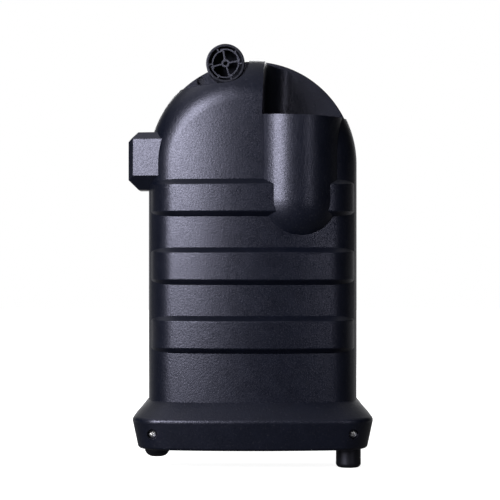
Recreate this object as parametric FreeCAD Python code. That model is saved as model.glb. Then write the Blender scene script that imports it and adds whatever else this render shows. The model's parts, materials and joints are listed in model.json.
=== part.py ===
import FreeCAD, Part
import math
import os

# Box-type wave maker pump for an aquarium, hung by its flat back on a tank wall.
# Millimetres, X to the right, Y to the back, Z up. The origin is the centre of the four mounting
# threads on the rear plane. Heights below are measured from the underside of the base, and the
# finished shapes are dropped by mount_height when they are saved.

os.makedirs("parts", exist_ok=True)
V = FreeCAD.Vector

# housing
body_half = 86.5          # half the body width
body_depth = 78.0         # front plane to the rear rim
wall = 3.0                # moulded wall
spring_height = 234.4     # where the straight sides meet the arch
crown_radius = 240.0      # plan curve of the front
skirt_crown = 420.0       # flatter plan curve of the skirt
side_radius = 28.0        # plan corner of the body
top_radius = 34.0         # roll of the arch edge
skirt_flare = 13.0        # how far the skirt stands out at its widest
skirt_crease = 38.7       # height where the skirt leaves the body
skirt_widest = 24.6       # height of the widest edge
rim_flare = 8.0           # how far the bottom rim stands out
edge_soft = 1.2           # rounding of the outer edges
skirt_soft = 4.0          # rounding of the skirt's widest edge
skirt_step = 1.5          # the rear plates stop this far inside the skirt
rim_soft = 2.8            # rounding of the skirt's bottom edge
rim_cut = 3.5             # bottom corners cut off the rear plates
band_pitch = 56.0
first_band = 94.0         # centre of the lowest band
band_count = 3
band_face = 22.2          # height of the flat face
band_bevel = 4.3          # height of each bevel
band_proud = 5.5
band_inset = 2.0          # band ends stop this far inside the body sides
band_rear = 48.0          # bands and pocket reach this far behind the front plane
# pocket for the motor and the recess over it
drive_x = 40.4
pocket_shift = -5.8       # pocket axis from the drive axis
pocket_set = 31.6         # pocket axis behind the front plane
pocket_room = 5.5         # between the motor clamp and the pocket wall
pocket_drop = 30.4        # the ball-shaped lower end starts this far below the arch
deck_rise = 39.6          # deck at the recess wall, above the start of the arch
recess_left = 7.4
recess_draft = 2.7        # shift of the recess wall over its depth
recess_curve = 22.5
recess_turn = 1.8         # the recess leans and its deck falls outwards, degrees
ledge_depth = 3.0         # thickness left at the recess and ledge
# side block
block_out = 16.4          # stands out from the body side
block_low = 213.0
block_high = 260.6
block_side = 3.6          # bevels round the block face
block_top = 5.9
block_under = 11.6
block_corner = 8.0        # cut corners in front view
block_soft = 2.0          # rounding of the block's edges
block_back = 12.0         # rear face in front of the rear rim
block_front = 19.6        # mean set-back of its front face
block_turn = 12.0         # degrees
# rear
gasket_gap = 1.0
gasket_low = 1.5          # above the base underside
cover_thick = 3.0
cover_lip = 0.9
cover_rise = 2.6          # its arch sits this much higher
flange_lip = 0.3          # rim round the housing's rear edge
flange_rise = 2.0
boss_proud = 4.0          # mounting bosses behind the cover
mount_height = 170.0
mount_spacing = 100.0
mount_thread = 2.5        # radius of the mounting thread
insert_wall = 1.2
insert_length = 10.0
boss_wall = 4.3
# screws
screw_radius = 1.5
screw_head = 2.9
screw_head_height = 2.0
screw_boss = 4.5
screw_clear = 0.2
cross_half = 1.9          # cross recess in a screw head
cross_slot = 0.4
cross_deep = 1.1
cross_turn = 35.0
# motor
drive_set = 33.0          # drive axis behind the front plane
can_radius = 28.0
can_wall = 2.0
can_low = 198.0
can_high = 258.0
shaft_radius = 4.0
rotor_radius = 16.0
stator_gap = 0.5
stator_height = 24.0
coil_height = 4.0
coil_step = 1.5           # coils clear the bore and the can by this
running_gap = 0.05
bearing_radius = 11.0
bearing_height = 7.0
clamp_wall = 4.0
clamp_low = 236.0
clamp_height = 14.0
# propeller end
duct_radius = 24.5
duct_ear_turns = (60, 135, 210)
duct_wall = 2.4
duct_low = 6.0
duct_high = 62.0
blade_gap = 0.9
blade_count = 3
propeller_low = 26.0
propeller_hub = 9.0
propeller_height = 18.0
blade_pitch_root = 62.0   # degrees
blade_pitch_tip = 28.0
blade_chord_root = 9.0
blade_chord_tip = 14.0
blade_half_thick = 1.0
nut_radius = 7.0
nut_height = 6.0
shaft_tail = 10.0         # shaft below the propeller
tube_radius = 9.0
tube_wall = 2.4
tube_entry = 2.0          # the tube enters the motor nose by this
# base
grating_low = 2.0
grating_thick = 4.0
grating_gap = 0.6
grating_screw_x = 43.25   # rear screws, between the ears of the duct
slot_width = 8.0
slot_pitch = 13.0
slot_count = 5
slot_front = 15.0         # bar left in front of and behind the slots
slot_back = 18.0
skirt_hole_out = 3.0      # lock screw outboard of the foot axis
skirt_hole_z = 13.2
skirt_hole_radius = 4.2
hole_wall = 2.3
skirt_hole_depth = 6.0    # screw seat behind the front plane
crown_head = 5.5          # domed screw head
# feet
foot_inboard = 7.5        # foot axis inside the body side
foot_back = 24.0          # foot axis behind the front plane
foot_radius = 10.3
foot_left_sole = 6.8      # rounding of the soles
foot_right_sole = 3.5
foot_height = 21.0
foot_gap = 0.4
stem_radius = 5.0
stem_length = 17.0
foot_left_drop = 7.0
foot_right_drop = 16.2
# vent
vent_x = -23.0
vent_drop = 0.5           # vent axis under the top of the arch
vent_radius = 16.3
vent_wall = 2.0
vent_length = 24.0
vent_room = 3.9           # space round the vent
vent_back = 6.0
spigot_radius = 5.0
spigot_back = 13.2        # in front of the ledge
pin_radius = 1.8
hub_radius = 3.4
spoke_half = 0.65
dial_depth = 5.0
dial_wall = 1.1
dial_float = 0.3          # end play of the dial on its pin
hub_step = 4.0            # boss in the barrel that the dial turns against
dial_arcs = ((8, 112, 12.3), (100, 205, 11.4), (193, 300, 12.5), (285, 385, 11.5))
dial_spokes = (100, 195, 287, 10)
dial_ribs = (0, 50, 120, 185, 242, 290)
ledge_hole_left = 21.4    # blind hole beside and below the vent
ledge_hole_drop = 13.0
ledge_hole_radius = 3.6
ledge_hole_deep = 2.0     # blind depth in the rear cover
# controller
case_x = -35.0
case_z = 258.0
case_width = 54.0
case_height = 46.0
case_depth = 30.0
case_wall = 2.0
board_thick = 1.6
capacitor_radius = 4.5
capacitor_height = 9.0
# cable gland
gland_out = 6.7           # gland axis outboard of the body side
gland_rise = 23.0         # above the underside of the block
gland_radius = 5.8
gland_wall = 1.6
cable_radius = 2.8

# planes that follow from the sizes above
rear_plane = -(boss_proud + cover_thick + gasket_gap)
front_plane = rear_plane - body_depth
cover_front = rear_plane + gasket_gap
cover_back = cover_front + cover_thick
ledge_face = rear_plane - ledge_depth
pocket_x = drive_x + pocket_shift
pocket_radius = can_radius + clamp_wall + pocket_room + wall
drive_y = front_plane + drive_set
foot_y = front_plane + foot_back
stator_low = can_low + 3 * can_wall + bearing_height + coil_height
stem_top = foot_height - foot_left_drop + stem_length + 1
arch_top = spring_height + body_half
deck_height = spring_height + deck_rise
pocket_round = spring_height - pocket_drop
foot_x = body_half - foot_inboard
skirt_hole_x = foot_x + skirt_hole_out
vent_z = arch_top - vent_drop
scoop_radius = vent_radius + vent_room
ledge_hole_x = vent_x - ledge_hole_left
ledge_hole_z = vent_z - ledge_hole_drop
gland_x = -(body_half + gland_out)
gland_z = block_low + gland_rise
grating_top = grating_low + grating_thick
skirt_seat = front_plane + skirt_hole_depth
spigot_y = ledge_face - spigot_back
block_rear = rear_plane - block_back
gland_thread = gland_radius - gland_wall


def box(x0, x1, y0, y1, z0, z1):
    return Part.makeBox(x1 - x0, y1 - y0, z1 - z0, V(x0, y0, z0))


def rod_z(x, y, radius, z0, z1):
    return Part.makeCylinder(radius, z1 - z0, V(x, y, z0), V(0, 0, 1))


def rod_y(x, z, radius, y0, y1):
    return Part.makeCylinder(radius, y1 - y0, V(x, y0, z), V(0, 1, 0))


def tube_z(x, y, outer, inner, z0, z1):
    return rod_z(x, y, outer, z0, z1).cut(rod_z(x, y, inner, z0 - 1, z1 + 1))


def tube_y(x, z, outer, inner, y0, y1):
    return rod_y(x, z, outer, y0, y1).cut(rod_y(x, z, inner, y0 - 1, y1 + 1))


def hexagon_y(x, z, radius, y0, y1):
    points = [V(x + radius * math.cos(math.radians(60 * k)), y0, z + radius * math.sin(math.radians(60 * k)))
              for k in range(7)]
    return Part.Face(Part.makePolygon(points)).extrude(V(0, y1 - y0, 0))


def fuse(shapes):
    return shapes[0].multiFuse(shapes[1:]) if len(shapes) > 1 else shapes[0]


def one_solid(shape):
    """The largest solid of a result, with its split faces joined."""
    return max(shape.removeSplitter().Solids, key=lambda s: s.Volume)


def level_edges(shape, height, back):
    """Edges that lie at one height, in front of the plane back."""
    return [edge for edge in shape.Edges
            if abs(edge.BoundBox.ZMin - height) < 0.01 and abs(edge.BoundBox.ZMax - height) < 0.01
            and edge.BoundBox.YMin < back]


def mirrored(point):
    return V(-point.x, point.y, point.z)


def plan_outline(z, half, front, rear, corner, crown):
    """Closed plan outline: straight back and sides, round corners, slightly curved front."""
    centre_y = front + crown
    corner_x = half - corner
    corner_y = centre_y - math.sqrt((crown - corner) ** 2 - corner_x ** 2)
    grow = crown / (crown - corner)
    touch = V(corner_x * grow, centre_y + (corner_y - centre_y) * grow, z)
    swing = math.atan2(corner_y - touch.y, touch.x - corner_x) / 2
    bend = V(corner_x + corner * math.cos(swing), corner_y - corner * math.sin(swing), z)
    side = V(half, corner_y, z)
    back = V(half, rear, z)
    return Part.Wire([
        Part.makeLine(mirrored(back), back),
        Part.makeLine(back, side),
        Part.Arc(side, bend, touch).toShape(),
        Part.Arc(touch, V(0, front, z), mirrored(touch)).toShape(),
        Part.Arc(mirrored(touch), mirrored(bend), mirrored(side)).toShape(),
        Part.makeLine(mirrored(side), mirrored(back)),
    ])


def arch_outline(y, half, low, spring):
    """Closed front-view outline: flat foot, straight sides and a top of two quarter rounds."""
    bend = half * math.sqrt(0.5)
    return Part.Wire([
        Part.makeLine(V(-half, y, low), V(half, y, low)),
        Part.makeLine(V(half, y, low), V(half, y, spring)),
        Part.Arc(V(half, y, spring), V(bend, y, spring + bend), V(0, y, spring + half)).toShape(),
        Part.Arc(V(0, y, spring + half), V(-bend, y, spring + bend), V(-half, y, spring)).toShape(),
        Part.makeLine(V(-half, y, spring), V(-half, y, low)),
    ])


def crowned_slab(x, half, front, rear, crown, low, high):
    """Upright slab with a straight back and sides and a slightly curved front."""
    shoulder = front + crown - math.sqrt(crown ** 2 - half ** 2)
    left = V(x - half, shoulder, low)
    right = V(x + half, shoulder, low)
    back_left = V(x - half, rear, low)
    back_right = V(x + half, rear, low)
    wire = Part.Wire([
        Part.makeLine(back_left, back_right),
        Part.makeLine(back_right, right),
        Part.Arc(right, V(x, front, low), left).toShape(),
        Part.makeLine(left, back_left),
    ])
    return Part.Face(wire).extrude(V(0, 0, high - low))


def dome(inset, low, rear):
    """Body with an arched top. The front edge rolls over more and more towards the top."""
    half = body_half - inset
    front = front_plane + inset
    tall = crowned_slab(0, half, front, rear, crown_radius, low, arch_top + wall)
    outline = Part.Face(arch_outline(front - wall, half, low, spring_height))
    arch = outline.extrude(V(0, rear - front + wall, 0))
    solid = tall.common(arch).Solids[0]
    page = FreeCAD.newDocument()
    sharp = page.addObject("Part::Feature", "sharp")
    sharp.Shape = solid
    rolls = []
    for number, edge in enumerate(solid.Edges, 1):
        bounds = edge.BoundBox
        if bounds.YMax < (front + rear) / 2 and bounds.ZLength > top_radius:
            radii = [(top_radius if end.Point.z > spring_height + wall else side_radius) - inset
                     for end in (edge.Vertexes[0], edge.Vertexes[-1])]
            rolls.append((number, radii[0], radii[1]))
    rolled = page.addObject("Part::Fillet", "rolled")
    rolled.Base = sharp
    rolled.Edges = rolls
    page.recompute()
    shape = rolled.Shape.copy()
    FreeCAD.closeDocument(page.Name)
    return shape


def skirt(inset, low, rear):
    """Flared base: two ruled rings between plan outlines."""
    corner = side_radius - inset
    wires = []
    for z, out, crown in ((low, rim_flare, skirt_crown), (skirt_widest, skirt_flare, skirt_crown),
                          (skirt_crease, 0, crown_radius)):
        grow = out - inset
        wires.append(plan_outline(z, body_half + grow, front_plane - grow, rear, corner, crown))
    solid = one_solid(fuse([Part.makeLoft(pair, True, True) for pair in (wires[0:2], wires[1:3])]))
    if inset > 0:
        return solid
    solid = solid.makeFillet(skirt_soft, level_edges(solid, skirt_widest, rear - wall))
    return solid.makeFillet(rim_soft, level_edges(solid, low, rear - wall))


def band(centre, inset):
    """One raised band with bevelled edges and rounded ends."""
    half = body_half - band_inset - inset
    face = band_face / 2
    full = face + band_bevel
    inner = front_plane + inset
    outer = inner - band_proud
    rear = front_plane + band_rear
    heights = [(-full, inner), (-face, outer), (face, outer), (full, inner)]
    wires = [plan_outline(centre + z, half, front, rear, side_radius - inset, crown_radius)
             for z, front in heights]
    solid = one_solid(fuse([Part.makeLoft([wires[k], wires[k + 1]], True, True) for k in range(3)]))
    if inset > 0:
        return solid
    sharp = [edge for z in (-face, face) for edge in level_edges(solid, centre + z, rear - 1)]
    return solid.makeFillet(edge_soft, sharp)


def pocket(inset):
    """Round pocket over the drive, closed below by a ball."""
    radius = pocket_radius - inset
    y = front_plane + pocket_set
    tube = rod_z(pocket_x, y, radius, pocket_round, deck_height + wall)
    return one_solid(tube.fuse(Part.makeSphere(radius, V(pocket_x, y, pocket_round))))


def side_block(inset):
    """Block on the left side: cut corners, and bevels round a face that is turned outwards."""
    out = -(body_half + block_out) + inset
    low = block_low + inset
    high = block_high - inset
    inner = -body_half + side_radius
    back = rear_plane - block_back - inset
    depth = body_depth
    corner = block_corner - inset / 2
    points = [(inner, low), (out + corner, low), (out, low + corner),
              (out, high - corner), (out + corner, high), (inner, high)]
    wire = Part.makePolygon([V(x, back, z) for x, z in points + points[:1]])
    solid = Part.Face(wire).extrude(V(0, -depth, 0))
    plane_y = front_plane + block_front + inset
    pivot = V(-body_half - block_out / 2, plane_y, 0)
    rings = []
    for y, shrink in ((plane_y, 0), (plane_y + depth, depth)):
        left = out + block_side - shrink
        under = low + block_under - shrink
        over = high - block_top + shrink
        points = [V(left, y, under), V(inner, y, under), V(inner, y, over), V(left, y, over)]
        rings.append(Part.makePolygon(points + points[:1]))
    nose = Part.makeLoft(rings, True, True)
    nose.rotate(pivot, V(0, 0, 1), -block_turn)
    solid = one_solid(solid.common(nose))
    if inset > 0:
        return solid
    nearby = [edge for edge in solid.Edges
              if edge.BoundBox.YMax < back - 1 and edge.BoundBox.XMax < inner - 1]
    return solid.makeFillet(block_soft, nearby)


def recess(grow):
    """Space cut away over the pocket, back to the thin rear wall."""
    left = recess_left - grow
    deep = left + recess_draft
    back = ledge_face + grow
    curve = recess_curve + grow
    centre_x = deep + curve
    front = front_plane - pocket_radius
    low = deck_height - grow
    lead = left - recess_draft * (front_plane - front) / (back - curve - front_plane)
    bend = curve * math.sqrt(0.5)
    far = body_half + block_out
    wire = Part.Wire([
        Part.makeLine(V(lead, front, low), V(deep, back - curve, low)),
        Part.Arc(V(deep, back - curve, low), V(centre_x - bend, back - curve + bend, low),
                 V(centre_x, back, low)).toShape(),
        Part.makeLine(V(centre_x, back, low), V(far, back, low)),
        Part.makeLine(V(far, back, low), V(far, front, low)),
        Part.makeLine(V(far, front, low), V(lead, front, low)),
    ])
    solid = Part.Face(wire).extrude(V(0, 0, arch_top))
    solid.rotate(V(recess_left, 0, deck_height), V(0, 1, 0), recess_turn)
    return solid


def scoop(grow):
    """Space round the vent: a slope up from the left that turns into a round about the vent."""
    radius = scoop_radius + grow
    left = V(-body_half, 0, vent_z - scoop_radius - 7.4 - grow)
    reach = math.hypot(left.x - vent_x, left.z - vent_z)
    bearing = math.atan2(left.z - vent_z, left.x - vent_x)
    angle = bearing + math.acos(radius / reach)
    touch = V(vent_x + radius * math.cos(angle), 0, vent_z + radius * math.sin(angle))
    low = V(vent_x + radius * math.sin(math.radians(45)), 0, vent_z - radius * math.cos(math.radians(45)))
    end = V(vent_x + radius, 0, vent_z)
    top = arch_top + scoop_radius
    wire = Part.Wire([
        Part.makeLine(left, touch),
        Part.Arc(touch, low, end).toShape(),
        Part.makeLine(end, V(end.x, 0, top)),
        Part.makeLine(V(end.x, 0, top), V(left.x, 0, top)),
        Part.makeLine(V(left.x, 0, top), left),
    ])
    solid = Part.Face(wire).extrude(V(0, 2 * body_depth, 0))
    solid.translate(V(0, ledge_face + grow - 2 * body_depth, 0))
    return solid


def envelope(inset, low, rear):
    """The housing's outer skin at no inset, or its hollow at one wall of inset."""
    solids = [dome(inset, skirt_crease - wall, rear), skirt(inset, low, rear)]
    solids += [band(first_band + band_pitch * k, inset) for k in range(band_count)]
    solids += [pocket(inset), side_block(inset)]
    if inset == 0:
        flange = rear_plate(-flange_lip, 0, flange_rise, ledge_face, rear)
        solids.append(flange.common(box(-arch_top, arch_top, ledge_face, rear, skirt_crease, 2 * arch_top)))
    body = fuse(solids)
    back = box(-arch_top, arch_top, rear, arch_top, -arch_top, 2 * arch_top)
    return body.cut(back).cut(recess(inset)).cut(scoop(inset))


def rear_outline(y, inset, low, rise):
    """Front-view outline of the rear rim. It steps in behind the skirt."""
    half = body_half - inset
    spring = spring_height + rise
    wide = half + skirt_flare - skirt_step
    foot = half + rim_flare - skirt_step
    heel = foot - rim_cut
    knee = low + rim_cut
    points = [V(-half, y, spring), V(-half, y, skirt_crease), V(-wide, y, skirt_widest), V(-foot, y, knee),
              V(-heel, y, low), V(heel, y, low), V(foot, y, knee), V(wide, y, skirt_widest),
              V(half, y, skirt_crease), V(half, y, spring)]
    lines = [Part.makeLine(points[k], points[k + 1]) for k in range(len(points) - 1)]
    arc = Part.Arc(V(half, y, spring), V(0, y, spring + half), V(-half, y, spring)).toShape()
    return Part.Wire(lines + [arc])


def rear_plate(inset, low, rise, y0, y1):
    return Part.Face(rear_outline(y0, inset, low, rise)).extrude(V(0, y1 - y0, 0))


def mount_points():
    half = mount_spacing / 2
    return [(x, mount_height + z) for x in (-half, half) for z in (-half, half)]


def rim_screw_points():
    inset = body_half - wall - screw_boss
    rows = [first_band - band_pitch * 0.6 + band_pitch * k for k in range(4)]
    points = [(side * inset, z) for z in rows for side in (-1, 1)]
    high = math.radians(20)
    points += [(side * inset * math.cos(high), spring_height + inset * math.sin(high)) for side in (-1, 1)]
    return points


def grating_screw_points():
    return [(side * grating_screw_x, grating_low + grating_thick + screw_boss) for side in (-1, 1)]


def grating_boss_points():
    return [(x, front_plane + 8) for x in (-30, 6)]


def vent_screw_points():
    step = vent_radius / 2
    return [(vent_x + side * step, vent_z - step) for side in (-1, 1)]


def clamp_screw_points():
    step = can_radius - screw_boss
    return [(drive_x + side * step, clamp_low + clamp_height / 2) for side in (-1, 1)]


def case_screw_points():
    step = case_width / 2 + screw_boss
    return [(case_x + side * step, case_z) for side in (-1, 1)]


def front_housing():
    shell = envelope(0, 0, rear_plane).cut(envelope(wall, -1, rear_plane + wall))
    outer = envelope(0, 0, rear_plane)
    adds = []
    cuts = []
    for x, z in rim_screw_points():
        adds.append(rod_y(x, z, screw_boss, rear_plane - 4 * screw_boss, rear_plane))
        cuts.append(rod_y(x, z, screw_radius, rear_plane - 3 * screw_boss, rear_plane + 1))
    for side in (-1, 1):
        x = side * foot_x
        socket = foot_radius + foot_gap
        adds.append(rod_z(x, foot_y, socket + wall, 0, foot_height + stem_radius + wall))
        cuts.append(rod_z(x, foot_y, socket, -1, foot_height - foot_left_drop + 1))
        cuts.append(rod_z(x, foot_y, stem_radius + insert_wall, 0, stem_top))
        x = side * skirt_hole_x
        tube = skirt_hole_radius + hole_wall
        adds.append(rod_y(x, skirt_hole_z, tube, front_plane - skirt_flare, foot_y - socket))
        cuts.append(rod_y(x, skirt_hole_z, skirt_hole_radius, front_plane - skirt_flare - 1, skirt_seat))
        cuts.append(rod_y(x, skirt_hole_z, screw_radius, skirt_seat - 1, foot_y - socket / 2))
    for x, y in grating_boss_points():
        adds.append(rod_z(x, y, screw_boss, grating_top, skirt_widest))
        adds.append(box(x - wall / 2, x + wall / 2, front_plane - skirt_flare, y, grating_top, skirt_widest))
        cuts.append(rod_z(x, y, screw_radius, 0, skirt_widest - wall))
    adds = [shape.common(outer) for shape in adds]
    cuts.append(rod_y(ledge_hole_x, ledge_hole_z, ledge_hole_radius, ledge_face - 1, rear_plane + 1))
    cuts.append(rod_z(vent_x, spigot_y, spigot_radius + insert_wall, vent_z - 2 * scoop_radius, vent_z))
    for x, z in vent_screw_points():
        cuts.append(rod_y(x, z, screw_radius, ledge_face - 1, rear_plane + 1))
    cuts.append(rod_y(gland_x, gland_z, gland_thread, block_rear - 2 * wall, block_rear + 1))
    return one_solid(shell.multiFuse(adds).cut(fuse(cuts)))


def rear_cover():
    plate = rear_plate(-cover_lip, 1.0, cover_rise, cover_front, cover_back)
    adds = []
    cuts = []
    for x, z in mount_points():
        adds.append(rod_y(x, z, mount_thread + insert_wall + boss_wall, cover_front - insert_length, 0))
        cuts.append(rod_y(x, z, mount_thread + insert_wall, -insert_length, 1))
    for x, z in case_screw_points() + clamp_screw_points():
        adds.append(rod_y(x, z, screw_boss, cover_front - screw_boss, cover_back))
        cuts.append(rod_y(x, z, screw_radius, cover_front - screw_boss - 1, cover_back - 1))
    hole_end = cover_front + ledge_hole_deep
    cuts.append(rod_y(ledge_hole_x, ledge_hole_z, ledge_hole_radius, cover_front - 1, hole_end))
    for x, z in rim_screw_points() + grating_screw_points() + vent_screw_points():
        cuts.append(rod_y(x, z, screw_radius + screw_clear, cover_front - 1, cover_back + 1))
    return one_solid(plate.multiFuse(adds).cut(fuse(cuts)))


def rear_gasket():
    """Flat ring under the rim with a pad round every screw."""
    low = gasket_low
    ring = rear_plate(0, low, flange_rise, rear_plane, cover_front)
    ring = ring.cut(rear_plate(wall, low + wall, 0, rear_plane - 1, cover_front + 1))
    screws = rim_screw_points() + grating_screw_points() + vent_screw_points()
    pads = [rod_y(x, z, screw_boss, rear_plane, cover_front) for x, z in screws]
    cuts = [rod_y(x, z, screw_radius + screw_clear, rear_plane - 1, cover_front + 1) for x, z in screws]
    cuts.append(rod_y(ledge_hole_x, ledge_hole_z, ledge_hole_radius, rear_plane - 1, cover_front + 1))
    keep = rear_plate(-flange_lip, low, flange_rise, rear_plane, cover_front)
    return one_solid(ring.multiFuse(pads).common(keep).cut(fuse(cuts)))


def cross_y(x, z, y0, y1):
    """Cross recess for a screw along Y."""
    long = cross_half
    thin = cross_slot
    return fuse([box(x - long, x + long, y0, y1, z - thin, z + thin),
                 box(x - thin, x + thin, y0, y1, z - long, z + long)])


def pan_screws(points, head_y, tip_y):
    """Screws that enter from behind, their heads on the plane head_y."""
    top = head_y + screw_head_height
    solids = []
    for x, z in points:
        head = rod_y(x, z, screw_head, head_y, top).cut(cross_y(x, z, top - cross_deep, top + 1))
        solids.append(head.fuse(rod_y(x, z, screw_radius, tip_y, head_y)))
    return Part.makeCompound(solids)


def mount_inserts():
    return Part.makeCompound([
        tube_y(x, z, mount_thread + insert_wall, mount_thread, -insert_length, 0) for x, z in mount_points()])


def motor_can():
    bottom = can_low - wall
    can = rod_z(drive_x, drive_y, can_radius, can_low, can_high)
    hollow = rod_z(drive_x, drive_y, can_radius - can_wall, can_low + bearing_height + can_wall, can_high + 1)
    shelf = can_low + can_wall
    seat = rod_z(drive_x, drive_y, bearing_radius, shelf, shelf + bearing_height + can_wall)
    nose = rod_z(drive_x, drive_y, tube_radius + wall, bottom - bearing_height, can_low)
    seal = rod_z(drive_x, drive_y, tube_radius, bottom - bearing_height - 1, bottom)
    bore = rod_z(drive_x, drive_y, shaft_radius + 1, bottom - 1, can_low + bearing_height)
    return one_solid(can.cut(hollow).cut(seat).fuse(nose).cut(seal).cut(bore))


def motor_end_cap():
    low = can_high
    cap = rod_z(drive_x, drive_y, can_radius, low, low + wall)
    spigot = rod_z(drive_x, drive_y, bearing_radius + wall, low - bearing_height, low)
    seat = rod_z(drive_x, drive_y, bearing_radius, low - bearing_height - 1, low)
    return one_solid(cap.fuse(spigot).cut(seat))


def bearing(low):
    return tube_z(drive_x, drive_y, bearing_radius, shaft_radius + running_gap, low, low + bearing_height)


def motor_stator():
    outer = can_radius - can_wall
    return tube_z(drive_x, drive_y, outer, rotor_radius + stator_gap, stator_low, stator_low + stator_height)


def stator_coils():
    inner = rotor_radius + stator_gap + coil_step
    outer = can_radius - can_wall - coil_step
    high = stator_low + stator_height
    return Part.makeCompound([
        tube_z(drive_x, drive_y, outer, inner, stator_low - coil_height, stator_low),
        tube_z(drive_x, drive_y, outer, inner, high, high + coil_height)])


def motor_rotor():
    return tube_z(drive_x, drive_y, rotor_radius, shaft_radius, stator_low, stator_low + stator_height)


def drive_shaft():
    return rod_z(drive_x, drive_y, shaft_radius, propeller_low - shaft_tail, can_high - 1)


def shaft_seal():
    low = can_low - wall - bearing_height
    return tube_z(drive_x, drive_y, tube_radius, shaft_radius + running_gap, low + tube_entry, can_low - wall)


def shaft_tube():
    low = duct_high - wall
    high = can_low - wall - bearing_height
    tube = tube_z(drive_x, drive_y, tube_radius, tube_radius - tube_wall, low, high + tube_entry)
    collar = tube_z(drive_x, drive_y, tube_radius + wall, tube_radius, high - wall, high)
    return one_solid(tube.fuse(collar))


def lower_bush():
    return tube_z(drive_x, drive_y, tube_radius - tube_wall, shaft_radius + running_gap,
                  duct_high - wall, duct_high + 4 * wall)


def blade(turn):
    """One blade: a swept strip that climbs round the hub, flatter and wider towards its tip."""
    reach = duct_radius - duct_wall - blade_gap
    root = propeller_hub - 1
    rows = []
    for share in (0, 0.5, 1):
        radius = root + (reach - root) * share
        pitch = math.radians(blade_pitch_root + (blade_pitch_tip - blade_pitch_root) * share)
        half_chord = (blade_chord_root + (blade_chord_tip - blade_chord_root) * share) / 2
        corners = []
        for along, across in ((-1, -1), (1, -1), (1, 1), (-1, 1)):
            a = along * half_chord
            b = across * blade_half_thick
            round_hub = a * math.cos(pitch) - b * math.sin(pitch)
            up = a * math.sin(pitch) + b * math.cos(pitch)
            corners.append(V(radius, round_hub, up))
        rows.append(Part.makePolygon(corners + corners[:1]))
    strip = Part.makeLoft(rows, True, True).common(rod_z(0, 0, reach, -propeller_height, propeller_height))
    strip.rotate(V(0, 0, 0), V(0, 0, 1), turn)
    strip.translate(V(drive_x, drive_y, propeller_low + propeller_height / 2))
    return strip


def propeller():
    hub = rod_z(drive_x, drive_y, propeller_hub, propeller_low, propeller_low + propeller_height)
    blades = [blade(360 / blade_count * k) for k in range(blade_count)]
    return one_solid(hub.multiFuse(blades).cut(rod_z(drive_x, drive_y, shaft_radius, 0, arch_top)))


def propeller_nut():
    points = []
    for k in range(7):
        angle = math.radians(60 * k)
        points.append(V(drive_x + nut_radius * math.cos(angle), drive_y + nut_radius * math.sin(angle),
                        propeller_low - nut_height))
    nut = Part.Face(Part.makePolygon(points)).extrude(V(0, 0, nut_height))
    return one_solid(nut.cut(rod_z(drive_x, drive_y, shaft_radius, 0, arch_top)))


def duct_ears():
    step = duct_radius + screw_boss - 1
    turns = [math.radians(turn) for turn in duct_ear_turns]
    return [(drive_x + step * math.cos(turn), drive_y + step * math.sin(turn)) for turn in turns]


def propeller_duct():
    duct = tube_z(drive_x, drive_y, duct_radius, duct_radius - duct_wall, duct_low, duct_high)
    hub = rod_z(drive_x, drive_y, tube_radius + duct_wall, duct_high - wall, duct_high + 2 * wall)
    long = duct_radius - 1
    arms = []
    for turn in (0, 90):
        arm = box(-long, long, -wall / 2, wall / 2, duct_high - 2 * wall, duct_high)
        arm.rotate(V(0, 0, 0), V(0, 0, 1), turn)
        arm.translate(V(drive_x, drive_y, 0))
        arms.append(arm)
    body = duct.fuse(hub).multiFuse(arms)
    for x, y in duct_ears():
        ear = rod_z(x, y, screw_boss, duct_low, duct_low + 3 * wall)
        body = body.fuse(ear.cut(rod_z(drive_x, drive_y, duct_radius - 1, 0, arch_top)))
    for x, y in duct_ears():
        body = body.cut(rod_z(x, y, screw_radius, duct_low - 1, duct_low + 2.5 * wall))
    body = body.cut(rod_z(drive_x, drive_y, tube_radius, duct_high - wall, arch_top))
    return one_solid(body.cut(rod_z(drive_x, drive_y, shaft_radius + 1, 0, duct_high)))


def base_grating():
    low = grating_low
    top = low + grating_thick
    rim = body_half + rim_flare - wall - grating_gap
    front = front_plane - rim_flare + wall + grating_gap
    outline = plan_outline(low, rim, front, rear_plane, side_radius - wall, skirt_crown)
    plate = Part.Face(outline).extrude(V(0, 0, grating_thick))
    cuts = []
    for side in (-1, 1):
        cuts.append(rod_z(side * foot_x, foot_y, foot_radius + foot_gap + wall + grating_gap, 0, top + 1))
        bay = skirt_hole_z - low + grating_gap
        cuts.append(rod_y(side * skirt_hole_x, skirt_hole_z, bay, 2 * front_plane, foot_y))
    ring = duct_radius + screw_boss * 2 + 1
    for k in range(slot_count):
        x = -k * slot_pitch
        half = slot_width / 2
        slot = box(x - half, x + half, front_plane + slot_front, rear_plane - slot_back, 0, top + 1)
        cuts.append(slot.cut(rod_z(drive_x, drive_y, ring, 0, top + 1)))
    mouth = tube_z(drive_x, drive_y, duct_radius - duct_wall, propeller_hub, 0, top + 1)
    bars = [box(-ring, ring, -wall / 2, wall / 2, 0, top + 1) for k in range(3)]
    for number, bar in enumerate(bars):
        bar.rotate(V(0, 0, 0), V(0, 0, 1), 60 * number + 30)
        bar.translate(V(drive_x, drive_y, 0))
    cuts.append(mouth.cut(fuse(bars)))
    for x, y in duct_ears() + grating_boss_points():
        cuts.append(rod_z(x, y, screw_radius + screw_clear, 0, top + 1))
    body = plate.cut(fuse(cuts))
    for x, z in grating_screw_points():
        deep = 4 * screw_boss
        block = box(x - screw_boss, x + screw_boss, rear_plane - deep, rear_plane, low, z + screw_boss)
        body = body.fuse(block).cut(rod_y(x, z, screw_radius, rear_plane - 3 * screw_boss, rear_plane + 1))
    return one_solid(body)


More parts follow.
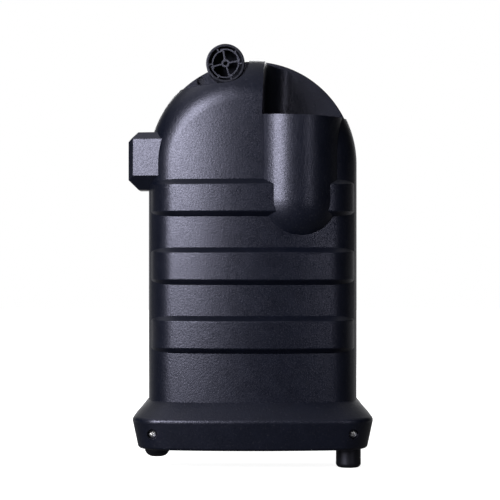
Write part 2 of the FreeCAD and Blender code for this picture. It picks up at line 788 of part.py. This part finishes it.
def base_screws(points, tip):
    """Screws that enter from below with their heads under the grating."""
    low = grating_low
    solids = []
    for x, y in points:
        under = low - screw_head_height
        head = rod_z(x, y, screw_head, under, low)
        recess_top = under + cross_deep
        long = cross_half
        thin = cross_slot
        slots = fuse([box(x - long, x + long, y - thin, y + thin, under - 1, recess_top),
                      box(x - thin, x + thin, y - long, y + long, under - 1, recess_top)])
        solids.append(head.cut(slots).fuse(rod_z(x, y, screw_radius, low, tip)))
    return Part.makeCompound(solids)


def foot_lock_screws():
    """Domed cross-head screws behind the access holes, each stopping just short of its foot."""
    head = skirt_seat - screw_head_height
    offset = skirt_hole_x - foot_x
    tip = foot_y - math.sqrt(foot_radius ** 2 - offset ** 2) - foot_gap
    solids = []
    for side in (-1, 1):
        x = side * skirt_hole_x
        z = skirt_hole_z
        dome_cap = Part.makeSphere(crown_head, V(x, head + crown_head, z))
        cap = rod_y(x, z, screw_head, head, skirt_seat).common(dome_cap)
        cross = cross_y(x, z, head - 1, head + cross_deep)
        cross.rotate(V(x, 0, z), V(0, 1, 0), side * cross_turn)
        solids.append(cap.cut(cross).fuse(rod_y(x, z, screw_radius, skirt_seat, tip)))
    return Part.makeCompound(solids)


def foot_inserts():
    low = foot_height - foot_left_drop + 1
    return Part.makeCompound([
        tube_z(side * foot_x, foot_y, stem_radius + insert_wall, stem_radius + running_gap, low, low + 11)
        for side in (-1, 1)])


def foot(side, drop, roll):
    """Levelling foot: round pad with a rounded sole and a threaded stem."""
    x = side * foot_x
    top = foot_height - drop
    pad = rod_z(x, foot_y, foot_radius, -drop, top)
    sole = [edge for edge in pad.Edges if edge.BoundBox.ZMax < 0.1 - drop]
    stem = rod_z(x, foot_y, stem_radius, top, top + stem_length)
    return one_solid(pad.makeFillet(roll, sole).fuse(stem))


def vent_barrel():
    front = ledge_face - vent_length
    tube = rod_y(vent_x, vent_z, vent_radius, front, ledge_face)
    rim = [edge for edge in tube.Edges if edge.BoundBox.YMax < front + 0.1]
    tube = tube.makeFillet(0.8, rim)
    bore = rod_y(vent_x, vent_z, vent_radius - vent_wall, front - 1, ledge_face - vent_back)
    spigot = rod_z(vent_x, spigot_y, spigot_radius, vent_z - scoop_radius - 12, vent_z - vent_radius + 2)
    hole = rod_z(vent_x, spigot_y, spigot_radius - 1.5, vent_z - 3 * scoop_radius, vent_z)
    body = tube.fuse(spigot).cut(bore).cut(hole)
    floor = ledge_face - vent_back
    body = body.fuse(rod_y(vent_x, vent_z, hub_radius, floor - hub_step, floor + 1))
    body = body.cut(rod_y(vent_x, vent_z, pin_radius, front, ledge_face - 1))
    for x, z in vent_screw_points():
        body = body.cut(rod_y(x, z, screw_radius, ledge_face - vent_back + 1.5, ledge_face + 1))
    return one_solid(body)


def vent_dial():
    """Spoked wheel: hub, four spokes, a ring of four stepped arcs and short outer ribs."""
    y0 = ledge_face - vent_length + 1
    y1 = y0 + dial_depth
    outer = vent_radius - vent_wall - foot_gap
    hub_end = ledge_face - vent_back - hub_step - dial_float
    parts = [rod_y(vent_x, vent_z, hub_radius, y0, hub_end)]
    for start, stop, radius in dial_arcs:
        arc = tube_y(vent_x, vent_z, radius, radius - dial_wall, y0, y1)
        wedge = [V(vent_x, y0, vent_z)]
        steps = 6
        for k in range(steps + 1):
            angle = math.radians(start + (stop - start) * k / steps)
            reach = 2 * radius
            wedge.append(V(vent_x + reach * math.cos(angle), y0, vent_z + reach * math.sin(angle)))
        parts.append(arc.common(Part.Face(Part.makePolygon(wedge + wedge[:1])).extrude(V(0, dial_depth, 0))))
    rays = [(turn, hub_radius - 1, dial_arcs[0][2] - dial_wall / 2, y0) for turn in dial_spokes]
    rays += [(turn, dial_arcs[3][2] - dial_wall / 2, outer, y0 + dial_wall / 2) for turn in dial_ribs]
    for turn, start, stop, face in rays:
        ray = box(start, stop, face, y1 - 1, -spoke_half, spoke_half)
        ray.rotate(V(0, 0, 0), V(0, 1, 0), -turn)
        ray.translate(V(vent_x, 0, vent_z))
        parts.append(ray)
    wheel = fuse(parts).cut(rod_y(vent_x, vent_z, pin_radius + running_gap, y0 - 1, ledge_face))
    return one_solid(wheel)


def vent_pin():
    return rod_y(vent_x, vent_z, pin_radius, ledge_face - vent_length / 2 - 2, ledge_face - 1)


def vent_seal():
    high = vent_z - scoop_radius
    return tube_z(vent_x, spigot_y, spigot_radius + insert_wall, spigot_radius, high - wall, high)


def cable_gland():
    body = hexagon_y(gland_x, gland_z, gland_radius, block_rear, block_rear + wall)
    body = body.fuse(rod_y(gland_x, gland_z, gland_thread, block_rear - 3 * wall, block_rear + 2 * wall))
    return one_solid(body.cut(rod_y(gland_x, gland_z, cable_radius, block_rear - 4 * wall, 0)))


def gland_locknut():
    nut = hexagon_y(gland_x, gland_z, gland_radius - 0.3, block_rear - 2 * wall, block_rear - wall)
    return one_solid(nut.cut(rod_y(gland_x, gland_z, gland_thread, block_rear - 4 * wall, 0)))


def gland_cap():
    cap = rod_y(gland_x, gland_z, gland_radius - 0.2, block_rear + wall, rear_plane - 1)
    inner = rod_y(gland_x, gland_z, gland_thread, block_rear, rear_plane - wall)
    return one_solid(cap.cut(inner).cut(rod_y(gland_x, gland_z, cable_radius, block_rear, 0)))


def gland_seal():
    return tube_y(gland_x, gland_z, gland_thread, cable_radius, block_rear + 2 * wall, rear_plane - wall)


def controller_case():
    back = cover_front - screw_boss
    x0 = case_x - case_width / 2
    z0 = case_z - case_height / 2
    case = box(x0, x0 + case_width, back - case_depth, back, z0, z0 + case_height)
    hollow = box(x0 + case_wall, x0 + case_width - case_wall, back - case_depth + case_wall, back + 1,
                 z0 + case_wall, z0 + case_height - case_wall)
    body = case.cut(hollow)
    for x, z in case_screw_points():
        ear = box(x - screw_boss, x + screw_boss, back - case_wall, back, z - screw_boss, z + screw_boss)
        body = body.fuse(ear).cut(hollow).cut(rod_y(x, z, screw_radius + screw_clear, back - 9, back + 1))
    return one_solid(body)


def case_lid():
    back = cover_front - screw_boss
    x0 = case_x - case_width / 2 + case_wall
    z0 = case_z - case_height / 2 + case_wall
    wide = case_width - 2 * case_wall
    return box(x0, x0 + wide, back - case_wall, back, z0, z0 + case_height - 2 * case_wall)


def controller_board():
    back = cover_front - screw_boss - case_depth / 2
    x0 = case_x - case_width / 2 + case_wall
    z0 = case_z - case_height / 2 + case_wall
    wide = case_width - 2 * case_wall
    return box(x0, x0 + wide, back, back + board_thick, z0, z0 + case_height - 2 * case_wall)


def board_components():
    """Three round capacitors, a flat chip and a terminal block."""
    face = cover_front - screw_boss - case_depth / 2
    low = face - capacitor_height
    solids = [rod_y(case_x + x, case_z + 10, capacitor_radius, low, face) for x in (-14, -2, 10)]
    for x0, x1, z0, z1, height in ((-16, -2, -14, -2, 5), (5, 19, -15, -7, 8)):
        solids.append(box(case_x + x0, case_x + x1, face - height, face, case_z + z0, case_z + z1))
    return Part.makeCompound(solids)


def plain_screws(points, head):
    """Short screws driven towards the rear cover, under their heads at the plane head."""
    return Part.makeCompound([
        rod_y(x, z, screw_head, head - screw_head_height, head).fuse(
            rod_y(x, z, screw_radius, head, cover_back - 1)) for x, z in points])


def case_screws():
    return plain_screws(case_screw_points(), cover_front - screw_boss - case_wall)


def motor_clamp():
    top = clamp_low + clamp_height
    ring = tube_z(drive_x, drive_y, can_radius + clamp_wall, can_radius, clamp_low, top)
    back = cover_front - screw_boss
    arm = box(drive_x - can_radius / 2, drive_x + can_radius / 2, drive_y, back, clamp_low, top)
    pad = box(drive_x - can_radius, drive_x + can_radius, back - wall, back, clamp_low, top)
    body = ring.fuse(arm).fuse(pad).cut(rod_z(drive_x, drive_y, can_radius, 0, arch_top))
    for x, z in clamp_screw_points():
        deep = back - 3 * wall
        body = body.cut(rod_y(x, z, screw_radius + screw_clear, deep, back + 1))
        body = body.cut(rod_y(x, z, screw_head + 2 * screw_clear, deep - wall, back - wall))
    return one_solid(body)


def clamp_screws():
    return plain_screws(clamp_screw_points(), cover_front - screw_boss - wall)


def save(name, shape):
    shape = shape.copy()
    shape.translate(V(0, 0, -mount_height))
    shape.exportStep("parts/" + name + ".step")
    print(name, len(shape.Solids), shape.isValid(), round(shape.Volume))


save("front_housing", front_housing())
save("rear_gasket", rear_gasket())
save("rear_cover", rear_cover())
save("rear_cover_screws", pan_screws(rim_screw_points() + grating_screw_points(), cover_back, rear_plane - 8))
save("mount_inserts", mount_inserts())
save("motor_can", motor_can())
save("motor_end_cap", motor_end_cap())
save("upper_bearing", bearing(can_high - bearing_height))
save("lower_bearing", bearing(can_low + can_wall))
save("motor_stator", motor_stator())
save("stator_coils", stator_coils())
save("motor_rotor", motor_rotor())
save("drive_shaft", drive_shaft())
save("shaft_seal", shaft_seal())
save("shaft_tube", shaft_tube())
save("lower_bush", lower_bush())
save("propeller", propeller())
save("propeller_nut", propeller_nut())
save("propeller_duct", propeller_duct())
save("duct_screws", base_screws(duct_ears(), duct_low + 2 * wall))
save("base_grating", base_grating())
save("grating_screws", base_screws(grating_boss_points(), skirt_widest - 2 * wall))
save("foot_lock_screws", foot_lock_screws())
save("foot_inserts", foot_inserts())
save("foot_left", foot(-1, foot_left_drop, foot_left_sole))
save("foot_right", foot(1, foot_right_drop, foot_right_sole))
save("vent_barrel", vent_barrel())
save("vent_dial", vent_dial())
save("vent_pin", vent_pin())
save("vent_seal", vent_seal())
save("vent_screws", pan_screws(vent_screw_points(), cover_back, ledge_face - vent_back + 2))
save("cable_gland", cable_gland())
save("gland_locknut", gland_locknut())
save("gland_cap", gland_cap())
save("gland_seal", gland_seal())
save("controller_case", controller_case())
save("case_lid", case_lid())
save("controller_board", controller_board())
save("board_components", board_components())
save("case_screws", case_screws())
save("motor_clamp", motor_clamp())
save("clamp_screws", clamp_screws())
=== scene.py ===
import bpy
import json
import math
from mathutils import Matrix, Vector


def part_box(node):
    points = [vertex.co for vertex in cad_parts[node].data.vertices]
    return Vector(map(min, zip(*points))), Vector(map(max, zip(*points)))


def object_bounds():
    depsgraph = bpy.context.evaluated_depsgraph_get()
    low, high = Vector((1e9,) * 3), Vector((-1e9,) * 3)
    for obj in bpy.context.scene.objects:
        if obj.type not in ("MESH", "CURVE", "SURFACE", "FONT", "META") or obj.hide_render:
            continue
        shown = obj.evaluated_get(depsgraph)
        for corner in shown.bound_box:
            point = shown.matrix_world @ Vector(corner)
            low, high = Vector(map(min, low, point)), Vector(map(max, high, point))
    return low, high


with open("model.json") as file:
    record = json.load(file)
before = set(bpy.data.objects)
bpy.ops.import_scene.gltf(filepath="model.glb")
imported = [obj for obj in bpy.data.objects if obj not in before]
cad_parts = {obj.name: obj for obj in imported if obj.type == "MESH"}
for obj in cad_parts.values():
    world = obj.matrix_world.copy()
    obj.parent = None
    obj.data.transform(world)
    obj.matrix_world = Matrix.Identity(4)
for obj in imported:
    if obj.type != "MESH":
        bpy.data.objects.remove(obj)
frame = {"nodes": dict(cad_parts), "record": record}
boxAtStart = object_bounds()
print("frame loaded")

mm = 0.001


# A socket with arithmetic. Numbers go through Math nodes, colours and vectors through Mix and Vector Math.
class Wire:
    def __init__(self, graph, socket, kind="value"):
        self.graph = graph
        self.socket = socket
        self.kind = kind

    def math(self, operation, other, swapped=False):
        pair = (other, self) if swapped else (self, other)
        sockets = {0: pair[0], 1: pair[1]}
        isNumber = not isinstance(other, (Wire, tuple, list))
        if self.kind == "value" and (isNumber or getattr(other, "kind", "") == "value"):
            return self.graph.add("ShaderNodeMath", {"operation": operation}, sockets)
        if operation == "MULTIPLY" and isNumber:
            return self.graph.add("ShaderNodeVectorMath", {"operation": "SCALE"}, {0: self, "Scale": other},
                                  kind="vector")
        return self.graph.add("ShaderNodeVectorMath", {"operation": operation}, sockets, kind="vector")

    def __add__(self, other):
        return self.math("ADD", other)

    def __radd__(self, other):
        return self.math("ADD", other, True)

    def __sub__(self, other):
        return self.math("SUBTRACT", other)

    def __rsub__(self, other):
        return self.math("SUBTRACT", other, True)

    def __mul__(self, other):
        return self.math("MULTIPLY", other)

    def __rmul__(self, other):
        return self.math("MULTIPLY", other, True)

    # Rises smoothly from 0 to 1 over soft on either side of edge
    def above(self, edge, soft):
        return self.graph.add("ShaderNodeMapRange", {"interpolation_type": "SMOOTHSTEP"},
                              {"Value": self, "From Min": edge - soft, "From Max": edge + soft})

    def blend(self, low, high):
        return self.graph.add("ShaderNodeMix", {"data_type": "RGBA"}, {0: self, 6: low, 7: high}, output=2,
                              kind="colour")


# One node tree. add() takes a node's type, its settings, then the values or links of its sockets.
class Graph:
    def __init__(self, tree):
        self.tree = tree
        self.tree.nodes.clear()

    def put(self, socket, value):
        if isinstance(value, Wire):
            self.tree.links.new(value.socket, socket)
        elif isinstance(value, (tuple, list)) and len(value) == 3 and socket.type == "RGBA":
            socket.default_value = (*value, 1.0)
        else:
            socket.default_value = value

    def add(self, kindName, settings=None, inputs=None, output=0, kind="value"):
        node = self.tree.nodes.new(kindName)
        for name, value in (settings or {}).items():
            setattr(node, name, value)
        for key, value in (inputs or {}).items():
            self.put(node.inputs[key], value)
        return None if output is None else Wire(self, node.outputs[output], kind)

    def seenBy(self, ray):
        return self.add("ShaderNodeLightPath", output=ray)


class Finish(Graph):
    def __init__(self, name):
        self.material = bpy.data.materials.new(name)
        self.material.use_nodes = True
        super().__init__(self.material.node_tree)
        self.output = self.tree.nodes.new("ShaderNodeOutputMaterial")
        self.shader = self.tree.nodes.new("ShaderNodeBsdfPrincipled")
        self.tree.links.new(self.shader.outputs[0], self.output.inputs[0])

    def place(self):
        return self.add("ShaderNodeTexCoord", output=3, kind="vector")

    def noise(self, size, detail=2.0, rough=0.5, at=None):
        sockets = {"Vector": at or self.place(), "Scale": 1 / size, "Detail": detail, "Roughness": rough}
        return self.add("ShaderNodeTexNoise", {}, sockets)

    # Distance from the line along Y through a point
    def fromAxis(self, point):
        flat = (self.place() - tuple(point)) * (1.0, 0.0, 1.0)
        return self.add("ShaderNodeVectorMath", {"operation": "LENGTH"}, {0: flat}, output=1)

    def bump(self, height, depth):
        return self.add("ShaderNodeBump", {}, {"Height": height, "Distance": depth}, kind="vector")

    def set(self, **values):
        names = {"colour": "Base Color", "rough": "Roughness", "metal": "Metallic", "normal": "Normal",
                 "spec": "Specular IOR Level", "tint": "Specular Tint"}
        for key, value in values.items():
            self.put(self.shader.inputs[names[key]], value)
        return self.material


# Spark-eroded moulded plastic: fine grain, faint mottling and clouding, and scattered pale specks that are
# painted glints, standing in for light caught by tiny facets of the grain
def moulded(name, look):
    f = Finish(name)
    grain = f.noise(look["grainSize"], look["grainDetail"], look["grainHarsh"])
    broad = f.noise(look["mottleSize"])
    mottled = [channel * look["mottle"] for channel in look["colour"]]
    colour = broad.above(0.5, look["mottleSoft"]).blend(look["colour"], mottled)
    # Painted glints: the pale specks blended into the colour stand in for light caught by tiny facets of the
    # grain
    speck = f.noise(look["speckSize"], look["speckDetail"]).above(look["speckEdge"], look["speckSoft"])
    colour = (speck * look["speck"]).blend(colour, look["glintSpeckColour"])
    rough = look["rough"] + (grain - 0.5) * look["roughSwing"] + (broad - 0.5) * look["cloud"]
    if "hollowAxis" in look:
        inside = 1 - f.fromAxis(look["hollowAxis"]).above(look["hollowRadius"], look["hollowSoft"])
        rough = rough + inside * look["hollowRough"]
    return f.set(colour=colour, rough=rough, normal=f.bump(grain, look["grainDepth"]), spec=look["spec"],
                 tint=look["tint"])


housingLook = {
    "colour": (0.0012, 0.0020, 0.0056), "rough": 0.35, "spec": 0.5, "tint": (0.77, 0.77, 1.0),
    "grainSize": 1.5 * mm, "grainDetail": 3.0, "grainHarsh": 0.6, "grainDepth": 0.13 * mm, "roughSwing": 0.3,
    "mottle": 1.25, "mottleSize": 12 * mm, "mottleSoft": 0.3, "cloud": 0.10,
    # The speck values below set painted glints of the grain's tiny facets
    "speck": 0.35, "speckSize": 1.2 * mm, "speckDetail": 1.0, "speckEdge": 0.69, "speckSoft": 0.05,
    "glintSpeckColour": (0.03, 0.03, 0.036),
}
coverLook = dict(housingLook, colour=(0.0024, 0.0027, 0.0040))
ventLook = dict(housingLook, colour=(0.0024, 0.0028, 0.0044), rough=0.36, grainDepth=0.02 * mm, speck=0.1)
# The dial is a lighter copy of the vent's dark plastic: its extra lightness is painted light standing in for
# its lit spokes
dialPaintedLitLook = dict(ventLook, colour=(0.012, 0.0125, 0.018), rough=0.24, spec=0.9)
# The inside of the barrel, within hollowRadius of the dial's pin, is duller than its rim
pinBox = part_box("vent_pin")
barrelLook = dict(ventLook, hollowAxis=(pinBox[0] + pinBox[1]) / 2, hollowRadius=14.2 * mm,
                  hollowSoft=0.3 * mm, hollowRough=0.6)
footLook = dict(housingLook, colour=(0.0024, 0.0026, 0.0036), rough=0.4, grainDepth=0.02 * mm, speck=0.1)
gratingLook = dict(housingLook, colour=(0.0024, 0.0027, 0.0040), speck=0.1)
innerLook = dict(housingLook, colour=(0.03, 0.03, 0.034), rough=0.32, grainDepth=0.01 * mm, speck=0.0)
caseLook = dict(housingLook, colour=(0.12, 0.12, 0.13), rough=0.5, grainDepth=0.02 * mm, speck=0.0)


# Turned or drawn metal with fine streaks along one axis
def streaked(name, look):
    f = Finish(name)
    lines = f.noise(look["streakSize"], rough=look["streakHarsh"], at=f.place() * look["stretch"])
    rough = look["rough"] + (lines - 0.5) * look["roughSwing"]
    return f.set(colour=look["colour"], rough=rough, metal=1.0, normal=f.bump(lines, look["depth"]))


metalLook = {"colour": (0.80, 0.80, 0.81), "rough": 0.36, "roughSwing": 0.2, "streakSize": 1 * mm,
             "streakHarsh": 0.6, "stretch": (1.0, 1.0, 8.0), "depth": 0.01 * mm}
pinLook = dict(metalLook, colour=(0.03, 0.03, 0.033), rough=0.5)
canLook = dict(metalLook, colour=(0.46, 0.46, 0.48), rough=0.35, stretch=(1.0, 1.0, 12.0))
coreLook = dict(metalLook, colour=(0.13, 0.13, 0.14), rough=0.5, stretch=(1.0, 1.0, 20.0), depth=0.05 * mm)
copperLook = dict(metalLook, colour=(0.72, 0.33, 0.16), rough=0.3, stretch=(1.0, 1.0, 6.0), depth=0.06 * mm)
magnetLook = dict(metalLook, colour=(0.22, 0.22, 0.23), rough=0.42)
bearingLook = dict(metalLook, colour=(0.74, 0.74, 0.75), rough=0.16)
brassLook = dict(metalLook, colour=(0.76, 0.55, 0.24), rough=0.25)


# Soft black rubber
def rubber(name, look):
    f = Finish(name)
    grain = f.noise(look["grainSize"])
    rough = look["rough"] + (grain - 0.5) * look["roughSwing"]
    return f.set(colour=look["colour"], rough=rough, normal=f.bump(grain, look["depth"]))


sealLook = {"colour": (0.006, 0.006, 0.007), "rough": 0.62, "roughSwing": 0.1, "grainSize": 0.6 * mm,
            "depth": 0.01 * mm}


# Green solder mask over faint copper tracks
def circuit(name, look):
    f = Finish(name)
    tracks = f.noise(look["trackSize"], look["trackDetail"]).above(look["trackEdge"], look["trackSoft"])
    colour = tracks.blend(look["colour"], look["trackColour"])
    return f.set(colour=colour, rough=look["rough"], normal=f.bump(tracks, look["depth"]))


boardLook = {"colour": (0.01, 0.10, 0.04), "rough": 0.3, "depth": 0.03 * mm, "trackColour": (0.03, 0.20, 0.07),
             "trackSize": 5 * mm, "trackDetail": 0.0, "trackEdge": 0.52, "trackSoft": 0.02}


# Ground ceramic
def ceramic(name, look):
    f = Finish(name)
    colour = f.noise(look["cloudSize"]).blend(look["colour"], look["shade"])
    return f.set(colour=colour, rough=look["rough"])


bushLook = {"colour": (0.80, 0.79, 0.75), "shade": (0.70, 0.69, 0.66), "cloudSize": 6 * mm, "rough": 0.35}

finishes = {
    "housing": moulded("housingPlastic", housingLook),
    "cover": moulded("coverPlastic", coverLook),
    "grating": moulded("gratingPlastic", gratingLook),
    "vent": moulded("ventPlastic", barrelLook),
    "dial": moulded("dialPlastic", dialPaintedLitLook),
    "foot": moulded("footPlastic", footLook),
    "drive_plastic": moulded("drivePlastic", innerLook),
    "case": moulded("casePlastic", caseLook),
    "board": circuit("boardMask", boardLook),
    "component": moulded("componentPlastic", innerLook),
    "seal": rubber("sealRubber", sealLook),
    "stainless": streaked("stainlessSteel", metalLook),
    "motor_steel": streaked("motorSteel", canLook),
    "laminations": streaked("coreSteel", coreLook),
    "copper": streaked("copperWinding", copperLook),
    "magnet": streaked("magnetCoating", magnetLook),
    "bearing": streaked("bearingSteel", bearingLook),
    "brass": streaked("turnedBrass", brassLook),
    "ceramic": ceramic("bushCeramic", bushLook),
}
# Pieces whose finish differs from the rest of their material
ownFinishes = {"vent_pin": streaked("blackenedPin", pinLook)}
for part in frame["record"]["subparts"]:
    obj = frame["nodes"][part["node"]]
    for place in obj.material_slots:
        place.material = ownFinishes.get(part["node"], finishes[part["material_slot"]])
print("finishes set")


# Studio surroundings: white behind the object, a dim ceiling that is brighter on the left, dark in front
studioLook = {"white": 1.0, "behindEdge": 0.8, "behindSoft": 0.2, "polished": 0.6, "ceiling": 0.42,
              "ceilingEdge": 0.65, "ceilingSoft": 0.30, "leftBias": 0.7, "ambient": 0.02}


def studioWorld(look):
    world = bpy.data.worlds.new("studio")
    bpy.context.scene.world = world
    world.use_nodes = True
    g = Graph(world.node_tree)
    direction = g.add("ShaderNodeTexCoord", output=0, kind="vector")
    split = g.add("ShaderNodeSeparateXYZ", {}, {0: direction})
    across, back, up = [Wire(g, split.socket.node.outputs[k]) for k in range(3)]
    behind = back.above(look["behindEdge"], look["behindSoft"])
    ceiling = up.above(look["ceilingEdge"], look["ceilingSoft"])
    glow = look["ceiling"] * ceiling * (1 - look["leftBias"] * across) + look["ambient"]
    shown = g.seenBy("Is Camera Ray")
    polished = g.seenBy("Is Glossy Ray") + g.seenBy("Is Transmission Ray")
    white = shown + (1 - shown) * polished * behind * look["polished"]
    level = white * look["white"] + (1 - white) * glow
    backdrop = g.add("ShaderNodeBackground", {}, {"Color": level, "Strength": 1.0}, kind="shader")
    g.add("ShaderNodeOutputWorld", {}, {"Surface": backdrop}, output=None)


studioWorld(studioLook)


# Pale floor under the lower foot: white where it is lit, darker in the object's shadow, clear from below
floorLook = {"size": 8.0, "colour": (0.55, 0.55, 0.56), "rough": 0.8, "cloudSize": 0.4, "cloudShade": 0.97,
             "glow": 0.86, "farGlow": 0.2, "farEdge": 0.30, "farSoft": 0.12, "polishedGlow": 0.03,
             "rearGlow": 0.35, "rearEdge": 0.15, "rearSoft": 0.15, "unseen": 0.08}


def paleFloor(look):
    low = boxAtStart[0]
    half = look["size"] / 2
    mesh = bpy.data.meshes.new("floor")
    corners = [(-half, -half, low.z), (half, -half, low.z), (half, half, low.z), (-half, half, low.z)]
    mesh.from_pydata(corners, [], [(0, 1, 2, 3)])
    floor = bpy.data.objects.new("floor", mesh)
    bpy.context.scene.collection.objects.link(floor)
    f = Finish("paleFloor")
    shade = look["unseen"] + f.seenBy("Is Camera Ray") * (1 - look["unseen"])
    clouded = [channel * look["cloudShade"] for channel in look["colour"]]
    f.set(colour=f.noise(look["cloudSize"]).blend(look["colour"], clouded) * shade, rough=look["rough"])
    away = f.add("ShaderNodeVectorMath", {"operation": "LENGTH"}, {0: f.place()}, output=1)
    seen = look["glow"] + away.above(look["farEdge"], look["farSoft"]) * look["farGlow"]
    back = f.add("ShaderNodeSeparateXYZ", {}, {0: f.place()}, output=1)
    mirrored = back.above(look["rearEdge"], look["rearSoft"]) * look["rearGlow"] + look["polishedGlow"]
    glow = f.seenBy("Is Camera Ray") * seen
    glow = glow + (f.seenBy("Is Glossy Ray") + f.seenBy("Is Transmission Ray")) * mirrored
    lit = f.add("ShaderNodeEmission", {}, {"Color": glow, "Strength": 1.0}, kind="shader")
    both = f.add("ShaderNodeAddShader", {}, {0: lit, 1: Wire(f, f.shader.outputs[0])}, kind="shader")
    clear = f.add("ShaderNodeBsdfTransparent", {}, {}, kind="shader")
    under = f.add("ShaderNodeNewGeometry", output="Backfacing")
    f.put(f.output.inputs[0], f.add("ShaderNodeMixShader", {}, {0: under, 1: both, 2: clear}, kind="shader"))
    mesh.materials.append(f.material)


paleFloor(floorLook)
print("studio and floor set")


# Lamps aim at the middle of the housing. Azimuth is measured from the front towards the right, in degrees
lampTarget = Vector((0, -0.05, 0))
lamps = {
    "leftSoftbox": {"azimuth": -35, "height": 0.29, "distance": 1.15, "width": 0.50, "tall": 0.6, "watts": 21},
    "topSoftbox": {"azimuth": -80, "height": 0.75, "distance": 0.40, "width": 0.50, "tall": 0.5, "watts": 0.6},
    "rearSoftbox": {"azimuth": 180, "height": 0.55, "distance": 1.3, "width": 0.9, "tall": 0.6, "watts": 8},
    "frontFill": {"azimuth": 2, "height": 0.42, "distance": 1.6, "width": 0.25, "tall": 0.12, "watts": 0.7},
    "rightStrip": {"azimuth": 32, "height": 0.16, "distance": 1.2, "width": 0.09, "tall": 0.5, "watts": 1.0},
}


def placeLamp(name, look):
    data = bpy.data.lights.new(name, "AREA")
    data.shape = "RECTANGLE"
    data.size = look["width"]
    data.size_y = look["tall"]
    data.energy = look["watts"]
    lamp = bpy.data.objects.new(name, data)
    bpy.context.scene.collection.objects.link(lamp)
    turn = math.radians(look["azimuth"])
    lamp.location = (look["distance"] * math.sin(turn), -look["distance"] * math.cos(turn), look["height"])
    aim = lampTarget - lamp.location
    lamp.rotation_euler = aim.to_track_quat("-Z", "Y").to_euler()


for name, look in lamps.items():
    placeLamp(name, look)

# Camera: level, square to the front
cameraLook = {"lens": 135.0, "sensor": 36.0, "place": (-2.3 * mm, -1612 * mm, -6.8 * mm)}
cameraData = bpy.data.cameras.new("mainCamera")
cameraData.lens = cameraLook["lens"]
cameraData.sensor_width = cameraLook["sensor"]
camera = bpy.data.objects.new("mainCamera", cameraData)
bpy.context.scene.collection.objects.link(camera)
camera.location = cameraLook["place"]
camera.rotation_euler = (math.radians(90), 0, 0)
bpy.context.scene.camera = camera
bpy.context.scene.view_settings.view_transform = "Standard"
print("camera and lamps set")
